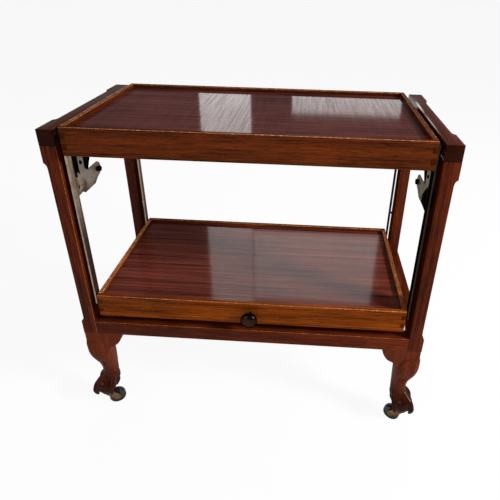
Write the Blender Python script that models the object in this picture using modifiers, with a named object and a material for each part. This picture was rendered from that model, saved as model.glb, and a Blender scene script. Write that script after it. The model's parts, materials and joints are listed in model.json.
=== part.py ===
"""Folding serving trolley: a mahogany tea trolley whose lower tray swings forward and up on steel arms.

Run with: blender --background --python part.py
Metres, +Z up. The origin is on the floor under the middle of the object, and +Y points to the rear.
Depths are measured back from the front face of the side frames, and drops down from the frames' top.
"""
import math

import bmesh
import bpy
from mathutils import Matrix, Vector

# Side frames
frame_width = 0.760
frame_depth = 0.384
frame_height = 0.718
post_width = 0.031
post_depth = 0.038
rail_height = 0.031
face_hollow = 0.006
hollow_margin = 0.034
hollow_sweep = 0.012
rail_hollow_margin = 0.063
low_rail_height = 0.034
low_rail_thickness = 0.022
cross_rail_depth = 0.030
tray_clearance = 0.020
tenon_length = 0.006
tenon_thickness = 0.010
tenon_shoulder = 0.006
dowel_radius = 0.007
dowel_length = 0.020

# Trays
side_gap = 0.016
rim_rise = 0.008
tray_height = 0.054
board = 0.009
panel_drop = 0.008
panel_thickness = 0.006
groove_depth = 0.004
finger_rows = 5
upper_overhang = 0.008
upper_rear_inset = 0.019
passing_gap = 0.0017
knob_radius = 0.018
knob_reach = 0.026
knob_drop = 0.032
knob_screw_radius = 0.003
knob_screw_length = 0.006

# Lift linkage
arm_length = 0.380
raised_drop = 0.006
arm_width = 0.016
arm_thickness = 0.003
arm_eye = 0.009
arm_standoff = 0.0035
front_pivot_depth = 0.016
front_pivot_drop = 0.009
rear_pivot_inset = 0.009
rear_pivot_drop = 0.031
journal_radius = 0.004
journal_play = 0.0001
collar_radius = 0.0065
collar_thickness = 0.0015
stud_wood_length = 0.020
stud_tip_radius = 0.003
stud_tip_length = 0.0035
swivel_plate_radius = 0.0088
swivel_plate_reach = 0.020
swivel_plate_thickness = 0.002
lug_width = 0.036
lug_height = 0.044
lug_drop = 0.087
lug_hole_radius = 0.003
lug_hole_in = 0.0075
lug_hole_up = 0.015

# Catches
catch_thickness = 0.002
catch_plate_length = 0.112
catch_plate_height = 0.108
catch_plate_front = 0.046
catch_plate_drop = 0.004
catch_pivot_depth = 0.068
catch_pivot_drop = 0.087
catch_pin_radius = 0.003
catch_head_radius = 0.0038
catch_head_height = 0.0012
catch_turn = 9.0
catch_gap = 0.0004
lever_length = 0.092
lever_height = 0.114
lever_front = 0.058
lever_below = 0.065
nose_front = 0.060
nose_height = 0.009
stop_radius = 0.003
stop_depth = 0.110
stop_wood_length = 0.008
rest_stop_drop = 0.120
held_depth = 0.076
button_radius = 0.006
button_stem_radius = 0.002
button_back = 0.072
button_below = 0.041

# Legs and castors
foot_clearance = 0.0463
knee_width = 0.054
ear_length = 0.055
ear_height = 0.059
ear_thickness = 0.020
ear_setback = 0.0006
leg_block_height = 0.026
foot_inset = 0.016
ball_radius = 0.0245
ball_rise = 0.0215
talon_radius = 0.007
talon_spread = 0.028
claw_turn = 45.0
castor_trail = 0.020
wheel_radius = 0.020
wheel_width = 0.015
tread_depth = 0.0055
axle_radius = 0.0025
axle_head_radius = 0.004
axle_head = 0.001
fork_gap = 0.001
fork_cheek = 0.002
crown_radius = 0.0125
crown_thickness = 0.0026
crown_rise = 0.001
stem_radius = 0.0035
stem_length = 0.020
socket_radius = 0.015
socket_flange = 0.002
socket_tube_radius = 0.0055
socket_wall_top = 0.003
front_castor_turn = 30.0
rear_castor_turn = 30.0

# Clearances
fit_gap = 0.0003
cut_extra = 0.002
lap = 0.001
steps_round = 16

# Shares of a size, along and down from the first corner
catch_plate_shares = ((0, 0), (1, 0), (1, 0.25), (0.75, 0.52), (0.32, 1), (0.07, 1), (0, 0.52))
lever_shares = ((0.02, 0), (0.15, 0), (0.22, 0.06), (0.24, 0.15), (0.24, 0.57), (0.33, 0.64), (0.87, 0.64),
                (0.96, 0.68), (1, 0.75), (0.99, 0.83), (0.92, 0.89), (0.79, 0.92), (0.61, 1), (0.09, 1),
                (0.03, 0.97), (0, 0.9), (0, 0.03))
lug_shares = ((0, 1), (0.85, 0.95), (1, 0.85), (1, 0.58), (0.34, 0), (0.31, 0.13), (0.2, 0.2), (0.08, 0.17),
              (0, 0.06))
ear_shares = ((1, 0), (1, 0.05), (0.93, 0.24), (0.84, 0.4), (0.72, 0.53), (0.6, 0.6), (0.5, 0.65),
              (0.41, 0.76), (0.35, 0.88), (0.33, 1), (-0.1, 1), (-0.1, 0))
# Down the leg: share of its height, share of the knee's width from the corner, half width, squareness
leg_shares = ((0.07, 0.32, 0.26, 4.0), (0.13, 0.325, 0.37, 4.0), (0.165, 0.345, 0.425, 3.6),
              (0.205, 0.37, 0.463, 3.4), (0.257, 0.39, 0.487, 3.2), (0.308, 0.407, 0.5, 3.0),
              (0.358, 0.426, 0.49, 2.9), (0.409, 0.45, 0.463, 2.8), (0.46, 0.48, 0.426, 2.6),
              (0.52, 0.515, 0.38, 2.5), (0.6, 0.538, 0.34, 2.3), (0.698, 0.537, 0.333, 2.1),
              (0.76, 0.49, 0.37, 2.0), (0.83, 0.39, 0.39, 2.0), (0.885, 0.33, 0.39, 2.0))
# Down a talon: share of the leg's height, knee share from the corner, share of spread, share of radius
talon_shares = ((0.667, 0.537, 0.2, 0.8), (0.728, 0.51, 0.46, 0.95), (0.784, 0.43, 0.74, 1.0),
                (0.83, 0.36, 0.92, 1.0), (0.875, 0.315, 0.975, 0.92), (0.916, 0.302, 1.0, 0.9),
                (0.957, 0.296, 0.94, 0.64), (0.995, 0.296, 0.82, 0.4))
# Knob profile from its nose: share of reach, share of radius
knob_shares = ((0, 0), (0, 0.45), (0.03, 0.68), (0.1, 0.86), (0.22, 0.97), (0.34, 1), (0.46, 0.95),
               (0.58, 0.78), (0.68, 0.55), (0.78, 0.42), (0.86, 0.42), (0.93, 0.52), (0.985, 0.6))
# Fork cheek: share of the trail behind the stem, share of the crown's height above the floor
cheek_shares = ((-0.35, 1), (0.55, 1), (1.15, 0.68), (1.3, 0.5), (1.27, 0.37), (1.1, 0.3), (0.9, 0.3),
                (0.72, 0.4), (-0.3, 0.9))

# Derived sizes
half_width = frame_width / 2
wall = half_width - post_width
tray_half = wall - side_gap
raised_cosine = raised_drop / arm_length
raised_sine = math.sqrt(1 - raised_cosine ** 2)
tray_step = arm_length - raised_drop
upper_front = -upper_overhang
upper_back = frame_depth - upper_rear_inset
lower_rim = rim_rise - tray_step
level_cosine = 1 - (tray_step - tray_height) / arm_length
level_sine = math.sqrt(1 - level_cosine ** 2)
lower_back = arm_length * level_sine - upper_overhang - passing_gap
rear_pivot_depth = upper_back - rear_pivot_inset
arm_inner = tray_half + arm_standoff
arm_outer = arm_inner + arm_thickness
plate_outer = wall - fit_gap
plate_inner = plate_outer - catch_thickness
lever_outer = plate_inner - fit_gap
lever_inner = lever_outer - catch_thickness
held_reach = lever_inner - catch_gap
nose_reach = arm_outer + catch_gap
held_radius = (rear_pivot_depth - held_depth) / raised_sine
held_drop = rear_pivot_drop + held_radius * raised_cosine
latch_sine = math.sin(math.radians(catch_turn))
latch_cosine = math.cos(math.radians(catch_turn))
nose_above = ((held_depth - catch_pivot_depth) * latch_sine + (catch_pivot_drop - held_drop) * latch_cosine
              - stop_radius - catch_gap)
nose_top = nose_above - catch_pivot_drop
sweep_radius = held_radius + stop_radius + 2 * catch_gap
nose_back = rear_pivot_depth - math.sqrt(sweep_radius ** 2 - (nose_top + rear_pivot_drop) ** 2)
stop_drop = (rear_pivot_drop + (rear_pivot_depth - stop_depth) * raised_cosine / raised_sine
             - arm_width / 2 / raised_sine - stop_radius - fit_gap)
post_end = tray_step - rim_rise + tray_height + tray_clearance + low_rail_height
leg_top = frame_height - post_end - fit_gap
leg_height = leg_top - foot_clearance
axle_height = wheel_radius
crown_base = 2 * wheel_radius + crown_rise
crown_top = crown_base + crown_thickness
foot_reach = max(talon_spread * spread * math.cos(math.radians(claw_turn)) + talon_radius * girth
                 for _, _, spread, girth in talon_shares)
rear_most = frame_depth - foot_inset + foot_reach
middle = (rear_most - knob_reach) / 2

parts = bpy.data.collections.new("folding_serving_trolley")
tools = bpy.data.collections.new("cutters")


# Coordinates
def back(depth):
    """World Y of a depth behind the frames' front face."""
    return depth - middle


def up(level):
    """World Z of a level, which is negative below the frames' top."""
    return frame_height + level


# Objects
def settle(data, name, group):
    """Put mesh or curve data into a collection as a new object."""
    made = bpy.data.objects.new(name, data)
    group.objects.link(made)
    if group is tools:
        made.hide_render = True
        made.display_type = "WIRE"
    return made


def block(name, low, high, group=parts):
    """Box between two corners."""
    size = Vector(high) - Vector(low)
    bm = bmesh.new()
    bmesh.ops.create_cube(bm, size=1.0, matrix=Matrix.Diagonal((*size, 1.0)))
    mesh = bpy.data.meshes.new(name)
    bm.to_mesh(mesh)
    bm.free()
    made = settle(mesh, name, group)
    made.location = (Vector(low) + Vector(high)) / 2
    return made


def rod(name, axis, centre, low, high, radius, group=parts, steps=steps_round):
    """Round bar along X, Y or Z."""
    bm = bmesh.new()
    bmesh.ops.create_cone(bm, cap_ends=True, segments=steps, radius1=radius, radius2=radius, depth=high - low)
    mesh = bpy.data.meshes.new(name)
    bm.to_mesh(mesh)
    bm.free()
    made = settle(mesh, name, group)
    middle_point = Vector(centre)
    middle_point["XYZ".index(axis)] = (low + high) / 2
    made.location = middle_point
    if axis == "X":
        made.rotation_euler = (0, math.radians(90), 0)
    if axis == "Y":
        made.rotation_euler = (math.radians(-90), 0, 0)
    return made


def weld(mesh, flat=False):
    """Close the seams of a mesh and turn its faces outwards."""
    bm = bmesh.new()
    bm.from_mesh(mesh)
    bmesh.ops.remove_doubles(bm, verts=bm.verts, dist=0.000001)
    if flat:
        bmesh.ops.dissolve_limit(bm, angle_limit=math.radians(1), verts=bm.verts, edges=bm.edges)
    bmesh.ops.recalc_face_normals(bm, faces=bm.faces)
    bm.to_mesh(mesh)
    bm.free()


def meshed(curve, name, group, flat=False):
    """Swap a curve object for a closed mesh object in the same place, with whole faces if it is flat."""
    bpy.context.view_layer.update()
    shown = curve.evaluated_get(bpy.context.evaluated_depsgraph_get())
    mesh = bpy.data.meshes.new_from_object(shown)
    weld(mesh, flat)
    place = curve.matrix_world.copy()
    bpy.data.objects.remove(curve)
    made = settle(mesh, name, group)
    made.matrix_world = place
    return made


def plate(name, axis, outlines, low, high, group=parts):
    """Flat outline, with any holes, extruded along X, Y or Z.

    Points are (Y, Z) along X, (X, Z) along Y and (X, Y) along Z.
    """
    curve = bpy.data.curves.new(name, "CURVE")
    curve.dimensions = "2D"
    curve.fill_mode = "BOTH"
    curve.extrude = (high - low) / 2
    for outline in outlines:
        spline = curve.splines.new("POLY")
        spline.points.add(len(outline) - 1)
        for point, place in zip(spline.points, outline):
            point.co = (place[0], place[1], 0.0, 1.0)
        spline.use_cyclic_u = True
    made = settle(curve, name + "_outline", group)
    centre = (low + high) / 2
    if axis == "X":
        made.rotation_euler = (math.radians(90), 0, math.radians(90))
        made.location = (centre, 0, 0)
    if axis == "Y":
        made.rotation_euler = (math.radians(90), 0, 0)
        made.location = (0, centre, 0)
    if axis == "Z":
        made.location = (0, 0, centre)
    return meshed(made, name, group, flat=True)


def turned(name, profile, group=parts, steps=steps_round):
    """Solid turned about its own Z from (radius, height) points that run from the top down."""
    bm = bmesh.new()
    rows = [bm.verts.new((radius, 0.0, height)) for radius, height in profile]
    for first, second in zip(rows, rows[1:]):
        bm.edges.new((first, second))
    mesh = bpy.data.meshes.new(name)
    bm.to_mesh(mesh)
    bm.free()
    made = settle(mesh, name, group)
    screw = made.modifiers.new("Turn", "SCREW")
    screw.steps = steps
    screw.render_steps = steps
    screw.use_merge_vertices = True
    screw.merge_threshold = 0.00001
    return made


def combine(target, tool, operation):
    """Join a helper to a part, or cut it away."""
    boolean = target.modifiers.new(operation.title(), "BOOLEAN")
    boolean.operation = operation
    boolean.solver = "EXACT"
    boolean.object = tool


def finished(source):
    """The evaluated mesh of an object, in world space."""
    bpy.context.view_layer.update()
    shown = source.evaluated_get(bpy.context.evaluated_depsgraph_get())
    mesh = bpy.data.meshes.new_from_object(shown)
    mesh.transform(source.matrix_world)
    return mesh


def mirrored(source, name, across, group=parts):
    """Copy of a finished piece on the other side of the middle plane across X or Y."""
    bm = bmesh.new()
    bm.from_mesh(finished(source))
    if across == "X":
        flip = Matrix.Scale(-1, 4, (1, 0, 0))
    else:
        shift = Matrix.Translation((0, 2 * back(frame_depth / 2), 0))
        flip = shift @ Matrix.Scale(-1, 4, (0, 1, 0))
    bmesh.ops.transform(bm, matrix=flip, verts=bm.verts)
    bmesh.ops.reverse_faces(bm, faces=bm.faces)
    mesh = bpy.data.meshes.new(name)
    bm.to_mesh(mesh)
    bm.free()
    return settle(mesh, name, group)


def circle(across, along, radius, steps=steps_round):
    """Points round a hole."""
    turns = [2 * math.pi * step / steps for step in range(steps)]
    return [(across + radius * math.cos(turn), along + radius * math.sin(turn)) for turn in turns]


def arc(across, along, radius, start, stop, steps):
    """Points along an arc between two angles in degrees."""
    turns = [math.radians(start + (stop - start) * step / steps) for step in range(steps + 1)]
    return [(across + radius * math.cos(turn), along + radius * math.sin(turn)) for turn in turns]


def hollowed(low, high, margin, face, depth, sweep):
    """Side line from one end to the other that dips inwards in a curve between two square ends."""
    bends = 4
    line = [(face, low)]
    for bend in range(bends + 1):
        turn = math.pi / 2 * bend / bends
        line.append((face - depth * math.sin(turn), low + margin + sweep * (1 - math.cos(turn))))
    for bend in range(bends + 1):
        turn = math.pi / 2 * (1 - bend / bends)
        line.append((face - depth * math.sin(turn), high - margin - sweep * (1 - math.cos(turn))))
    line.append((face, high))
    return line


# Side frames
def side_frame():
    """Right-hand posts, top rail and lower rail, and the rails between the frames."""
    post_low = up(-post_end)
    post_high = up(-rail_height - fit_gap)
    face = hollowed(post_low, post_high, hollow_margin, half_width, face_hollow, hollow_sweep)
    outline = face + [(wall, post_high), (wall, post_low)]
    front = plate("post_front_right", "Y", [outline], back(0), back(post_depth))
    rear = plate("post_rear_right", "Y", [outline], back(frame_depth - post_depth), back(frame_depth))

    line = hollowed(back(0), back(frame_depth), rail_hollow_margin, half_width, face_hollow, hollow_sweep)
    outline = line + [(wall, back(frame_depth)), (wall, back(0))]
    top = plate("top_rail_right", "Z", [outline], up(-rail_height), up(0))

    rail_low = up(-post_end)
    rail_high = rail_low + low_rail_height
    tenon_low = rail_low + tenon_shoulder
    tenon_high = rail_high - tenon_shoulder
    side = block("bottom_side_rail_right",
                 (half_width - low_rail_thickness, back(post_depth + fit_gap), rail_low),
                 (half_width, back(frame_depth - post_depth - fit_gap), rail_high))
    side_tenon_low = Vector((half_width - tenon_shoulder - tenon_thickness,
                             back(post_depth - tenon_length), tenon_low))
    side_tenon_high = Vector((half_width - tenon_shoulder,
                              back(frame_depth - post_depth + tenon_length), tenon_high))
    combine(side, block("side_tenon", side_tenon_low, side_tenon_high, tools), "UNION")

    cross = wall - fit_gap
    rails = []
    for name, near in (("bottom_rail_front", 0), ("bottom_rail_rear", frame_depth - cross_rail_depth)):
        rail = block(name, (-cross, back(near), rail_low), (cross, back(near + cross_rail_depth), rail_high))
        tenon_front = near + (cross_rail_depth - tenon_thickness) / 2
        low = Vector((-wall - tenon_length, back(tenon_front), tenon_low))
        high = Vector((wall + tenon_length, back(tenon_front + tenon_thickness), tenon_high))
        combine(rail, block(name + "_tenon", low, high, tools), "UNION")
        rails.append((low, high))

    # Mortises, dowel holes and pivot holes
    room = Vector((fit_gap, fit_gap, fit_gap))
    side_mortise = block("side_mortise", side_tenon_low - room, side_tenon_high + room, tools)
    for post, (low, high), depth in ((front, rails[0], post_depth / 2),
                                     (rear, rails[1], frame_depth - post_depth / 2)):
        combine(post, side_mortise, "DIFFERENCE")
        combine(post, block(post.name + "_mortise", low - room, high + room, tools), "DIFFERENCE")
        hole = rod(post.name + "_dowel_hole", "Z", (half_width - post_width / 2, back(depth), 0),
                   post_low - cut_extra, post_low + dowel_length + fit_gap, dowel_radius + fit_gap, tools)
        combine(post, hole, "DIFFERENCE")
    stud_end = wall + stud_wood_length + fit_gap
    for depth, drop, cut in ((front_pivot_depth, front_pivot_drop, (top,)),
                             (rear_pivot_depth, rear_pivot_drop, (top, rear))):
        hole = rod("pivot_hole", "X", (0, back(depth), up(-drop)), wall - cut_extra, stud_end,
                   journal_radius + fit_gap, tools)
        for piece in cut:
            combine(piece, hole, "DIFFERENCE")
    stop_end = wall + stop_wood_length + fit_gap
    rest_depth = rear_pivot_depth + arm_width / 2 + stop_radius + fit_gap
    for depth, drop, piece in ((stop_depth, stop_drop, top), (rest_depth, rest_stop_drop, rear)):
        hole = rod("stop_hole", "X", (0, back(depth), up(-drop)), wall - cut_extra, stop_end,
                   stop_radius + fit_gap, tools)
        combine(piece, hole, "DIFFERENCE")
    return front, rear, top, side


# Trays
def notches(name, axis, rows, ends, sides, top, squeeze):
    """Cutter with a box for each gap between the fingers at both ends of a board along X or Y."""
    row_height = tray_height / finger_rows
    bm = bmesh.new()
    for row in rows:
        upper = top - row * row_height + (cut_extra if row == 0 else squeeze)
        lower = top - (row + 1) * row_height - (cut_extra if row == finger_rows - 1 else squeeze)
        for low, high in ends:
            corner = Vector((low, sides[0], lower) if axis == "X" else (sides[0], low, lower))
            far = Vector((high, sides[1], upper) if axis == "X" else (sides[1], high, upper))
            place = Matrix.Translation((corner + far) / 2) @ Matrix.Diagonal((*(far - corner), 1.0))
            bmesh.ops.create_cube(bm, size=1.0, matrix=place)
    mesh = bpy.data.meshes.new(name)
    bm.to_mesh(mesh)
    bm.free()
    return settle(mesh, name, tools)


def tray(prefix, front, rear, rim):
    """Four boards and the panel in their grooves."""
    top = up(rim)
    low = top - tray_height
    inset = board + fit_gap
    boards = {}
    ends = ((-tray_half - cut_extra, inset - tray_half), (tray_half - inset, tray_half + cut_extra))
    for side, near, far in (("front", front, front + board), ("rear", rear - board, rear)):
        piece = block(prefix + "_" + side + "_board", (-tray_half, back(near), low), (tray_half, back(far), top))
        sides = (back(near) - cut_extra, back(far) + cut_extra)
        cutter = notches(piece.name + "_notches", "X", range(1, finger_rows, 2), ends, sides, top, 0)
        combine(piece, cutter, "DIFFERENCE")
        boards[side] = piece
    piece = block(prefix + "_right_board", (tray_half - board, back(front), low), (tray_half, back(rear), top))
    ends = ((back(front) - cut_extra, back(front + inset)), (back(rear - inset), back(rear) + cut_extra))
    sides = (tray_half - board - cut_extra, tray_half + cut_extra)
    cutter = notches(piece.name + "_notches", "Y", range(0, finger_rows, 2), ends, sides, top, fit_gap)
    combine(piece, cutter, "DIFFERENCE")
    boards["right"] = piece
    panel_top = top - panel_drop
    reach = tray_half - board + groove_depth
    edge = board - groove_depth
    groove = block(prefix + "_groove",
                   (-reach, back(front + edge), panel_top - panel_thickness - fit_gap),
                   (reach, back(rear - edge), panel_top + fit_gap), tools)
    for piece in boards.values():
        combine(piece, groove, "DIFFERENCE")
    boards["panel"] = block(prefix + "_panel",
                            (fit_gap - reach, back(front + edge + fit_gap), panel_top - panel_thickness),
                            (reach - fit_gap, back(rear - edge - fit_gap), panel_top))
    return boards


def knob():
    """Turned pull knob with the screw that holds it."""
    profile = []
    for reach, radius in knob_shares:
        profile.append((knob_radius * radius, knob_reach * (1 - reach)))
    foot = fit_gap
    profile.append((knob_radius * knob_shares[-1][1], foot))
    profile.append((knob_screw_radius, foot))
    profile.append((knob_screw_radius, -knob_screw_length))
    profile.append((0.0, -knob_screw_length))
    made = turned("knob", profile, steps=20)
    made.rotation_euler = (math.radians(90), 0, 0)
    made.location = (0, back(0), up(lower_rim - knob_drop))
    return made


# Lift linkage
def arm_outline(depth, drop, lug):
    """Outline of an arm that hangs straight down, with round eyes at its ends."""
    half = arm_width / 2
    turn = math.degrees(math.asin(half / arm_eye))
    low = up(-drop - arm_length)
    high = up(-drop)
    outline = arc(back(depth), high, arm_eye, turn - 90, 270 - turn, 14)
    outline += arc(back(depth), low, arm_eye, 90 + turn, 450 - turn, 14)
    if lug:
        edge = back(depth + half)
        top = high - lug_drop
        outline += [(edge + along * lug_width, top - down * lug_height) for along, down in lug_shares]
    return outline


def arms():
    """Right-hand arms, the studs that they turn on and the plates on the lower tray."""
    hole = journal_radius + journal_play
    made = []
    for name, depth, drop in (("arm_front_right", front_pivot_depth, front_pivot_drop),
                              ("arm_rear_right", rear_pivot_depth, rear_pivot_drop)):
        is_front = depth == front_pivot_depth
        outlines = [arm_outline(depth, drop, is_front)]
        outlines.append(circle(back(depth), up(-drop), hole))
        outlines.append(circle(back(depth), up(-drop - arm_length), hole))
        if is_front:
            outlines.append(circle(back(depth + arm_width / 2 + lug_hole_in),
                                   up(-drop - lug_drop - lug_height + lug_hole_up), lug_hole_radius, 12))
        arm = plate(name, "X", outlines, arm_inner, arm_outer)
        if not is_front:
            held = rod("held_stud", "X", (0, back(depth), up(-drop - held_radius)), arm_outer - lap,
                       held_reach, stop_radius, tools)
            combine(arm, held, "UNION")
        made.append(arm)
    return made


def pivot_studs():
    """Shouldered studs that run from the side frames through the arms into the upper tray."""
    tip = tray_half - stud_tip_length
    shoulder = tray_half + fit_gap
    play = arm_standoff / 10
    profile = [(0, wall + stud_wood_length), (journal_radius, wall + stud_wood_length),
               (journal_radius, arm_outer + play + collar_thickness),
               (collar_radius, arm_outer + play + collar_thickness), (collar_radius, arm_outer + play),
               (journal_radius, arm_outer + play), (journal_radius, arm_inner - play),
               (collar_radius, arm_inner - play), (collar_radius, shoulder), (stud_tip_radius, shoulder),
               (stud_tip_radius, tip), (0, tip)]
    for end, depth, drop in (("front", front_pivot_depth, front_pivot_drop),
                             ("rear", rear_pivot_depth, rear_pivot_drop)):
        stud = turned("upper_pivot_stud_" + end + "_right", profile, steps=12)
        stud.rotation_euler = (0, math.radians(90), 0)
        stud.location = (0, back(depth), up(-drop))
        mirrored(stud, "upper_pivot_stud_" + end + "_left", "X")


def swivel_plates():
    """Plates with riveted studs that carry the lower tray on the arms."""
    made = []
    plate_in = tray_half + fit_gap
    plate_out = plate_in + swivel_plate_thickness
    play = arm_standoff / 10
    head = arm_outer + play
    profile = [(0, head + collar_thickness), (collar_radius, head + collar_thickness), (collar_radius, head),
               (journal_radius, head), (journal_radius, arm_inner - play), (collar_radius, arm_inner - play),
               (collar_radius, plate_out - lap), (0, plate_out - lap)]
    for end, depth, drop, side in (("front", front_pivot_depth, front_pivot_drop, -1),
                                   ("rear", rear_pivot_depth, rear_pivot_drop, 1)):
        level = up(-drop - arm_length)
        far = level + side * swivel_plate_reach
        outline = arc(back(depth), max(level, far), swivel_plate_radius, 0, 180, 12)
        outline += arc(back(depth), min(level, far), swivel_plate_radius, 180, 360, 12)
        piece = plate("lower_pivot_plate_" + end + "_right", "X", [outline], plate_in, plate_out)
        stud = turned("swivel_stud", profile, tools, 12)
        stud.rotation_euler = (0, math.radians(90), 0)
        stud.location = (0, back(depth), level)
        combine(piece, stud, "UNION")
        made.append(piece)
        made.append(mirrored(piece, "lower_pivot_plate_" + end + "_left", "X"))
    return made


# Catches
def catch():
    """Right-hand mounting plate, lever and finger button."""
    front = back(catch_plate_front)
    top = up(-catch_plate_drop)
    pivot = (back(catch_pivot_depth), up(-catch_pivot_drop))
    outline = [(front + along * catch_plate_length, top - down * catch_plate_height)
               for along, down in catch_plate_shares]
    base = plate("catch_plate_right", "X", [outline], plate_inner, plate_outer)
    stop = rod("raised_stop", "X", (0, back(stop_depth), up(-stop_drop)), arm_inner - catch_gap,
               wall + stop_wood_length, stop_radius, tools, 16)
    combine(base, stop, "UNION")
    middle_skin = (plate_inner + plate_outer) / 2
    head = lever_inner - fit_gap
    pin = turned("pin", [(0, middle_skin), (catch_pin_radius, middle_skin), (catch_pin_radius, head),
                         (catch_head_radius, head), (catch_head_radius, head - catch_head_height),
                         (0, head - catch_head_height)], tools)
    pin.rotation_euler = (0, math.radians(90), 0)
    pin.location = (0, *pivot)
    combine(base, pin, "UNION")

    front = back(lever_front)
    top = up(-catch_pivot_drop - lever_below) + lever_height
    outline = [(front + along * lever_length, top - down * lever_height) for along, down in lever_shares]
    button_place = (back(catch_pivot_depth + button_back), up(-catch_pivot_drop - button_below))
    holes = [circle(*pivot, catch_pin_radius + journal_play),
             circle(*button_place, button_stem_radius + fit_gap, 12)]
    lever = plate("catch_lever_right", "X", [outline] + holes, lever_inner, lever_outer)
    nose = block("nose", (nose_reach, back(nose_front), up(nose_top) - nose_height),
                 (lever_inner + lap, back(nose_back), up(nose_top)), tools)
    combine(lever, nose, "UNION")

    button = rod("catch_button_right", "X", (0, *button_place), nose_reach, lever_inner - fit_gap, button_radius)
    stem = rod("button_stem", "X", (0, *button_place), lever_inner - lap, lever_outer, button_stem_radius,
               tools, 12)
    combine(button, stem, "UNION")
    return base, lever, button


def rest_stops():
    """Studs in the rear posts that the rear arms hang against."""
    depth = rear_pivot_depth + arm_width / 2 + stop_radius + fit_gap
    stud = rod("rest_stop_right", "X", (0, back(depth), up(-rest_stop_drop)), arm_inner - catch_gap,
               wall + stop_wood_length, stop_radius, parts, 16)
    mirrored(stud, "rest_stop_left", "X")


# Legs
def ear(name, axis):
    """Bracket between the knee and the rail above it."""
    top = up(-post_end) - fit_gap
    if axis == "Y":
        outline = [(wall - along * ear_length, top - down * ear_height) for along, down in ear_shares]
        return plate(name, "Y", [outline], back(ear_setback), back(ear_setback + ear_thickness), tools)
    outline = [(back(post_depth + along * ear_length), top - down * ear_height) for along, down in ear_shares]
    outer = half_width - ear_setback
    return plate(name, "X", [outline], outer - ear_thickness, outer, tools)


def cabriole():
    """Front right leg: a lofted knee and ankle with a ball gripped by four talons."""
    steps = 16
    bm = bmesh.new()
    rings = []
    for drop, inset, half, power in leg_shares:
        centre = Vector((half_width - inset * knee_width, back(inset * knee_width), leg_top - drop * leg_height))
        ring = []
        for step in range(steps):
            turn = 2 * math.pi * (step + 0.5) / steps
            cosine = math.cos(turn)
            sine = math.sin(turn)
            reach = half * knee_width / (abs(cosine) ** power + abs(sine) ** power) ** (1 / power)
            ring.append(bm.verts.new(centre + Vector((reach * cosine, reach * sine, 0))))
        rings.append(ring)
    for upper, lower in zip(rings, rings[1:]):
        for step in range(steps):
            following = (step + 1) % steps
            bm.faces.new((upper[step], lower[step], lower[following], upper[following]))
    bm.faces.new(rings[0])
    bm.faces.new(reversed(rings[-1]))
    bmesh.ops.recalc_face_normals(bm, faces=bm.faces)
    mesh = bpy.data.meshes.new("leg_front_right")
    bm.to_mesh(mesh)
    bm.free()
    leg = settle(mesh, "leg_front_right", parts)

    foot = Vector((half_width - foot_inset, back(foot_inset), foot_clearance))
    bm = bmesh.new()
    bmesh.ops.create_uvsphere(bm, u_segments=14, v_segments=9, radius=ball_radius)
    mesh = bpy.data.meshes.new("ball")
    bm.to_mesh(mesh)
    bm.free()
    ball = settle(mesh, "ball", tools)
    ball.location = foot + Vector((0, 0, ball_rise))
    combine(leg, ball, "UNION")

    for claw in range(4):
        turn = math.radians(claw_turn + 90 * claw)
        curve = bpy.data.curves.new("talon", "CURVE")
        curve.dimensions = "3D"
        curve.bevel_depth = talon_radius
        curve.bevel_resolution = 1
        curve.use_fill_caps = True
        spline = curve.splines.new("POLY")
        spline.points.add(len(talon_shares) - 1)
        for point, (drop, inset, spread, girth) in zip(spline.points, talon_shares):
            reach = spread * talon_spread
            point.co = (half_width - inset * knee_width + reach * math.cos(turn),
                        back(inset * knee_width) + reach * math.sin(turn),
                        leg_top - drop * leg_height, 1.0)
            point.radius = girth
        talon = meshed(settle(curve, "talon_line", tools), "talon", tools)
        combine(leg, talon, "UNION")

    block_low = (wall + ear_setback / 2, back(ear_setback / 2), leg_top - leg_block_height)
    block_high = (half_width - ear_setback / 2, back(post_depth - ear_setback / 2), leg_top)
    combine(leg, block("leg_block", block_low, block_high, tools), "UNION")
    combine(leg, ear("ear_across", "Y"), "UNION")
    combine(leg, ear("ear_back", "X"), "UNION")
    dowel = rod("dowel", "Z", (half_width - post_width / 2, back(post_depth / 2), 0), leg_top - cut_extra,
                up(-post_end) + dowel_length, dowel_radius, tools, 16)
    combine(leg, dowel, "UNION")
    reach = ball_radius + 2 * talon_radius
    under = block("under_foot", foot - Vector((reach, reach, ball_radius)), foot + Vector((reach, reach, 0)), tools)
    combine(leg, under, "DIFFERENCE")
    bore = rod("stem_hole", "Z", foot, foot_clearance - cut_extra, foot_clearance + stem_length + socket_wall_top
               + fit_gap, socket_tube_radius + fit_gap, tools)
    combine(leg, bore, "DIFFERENCE")
    return leg


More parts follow.
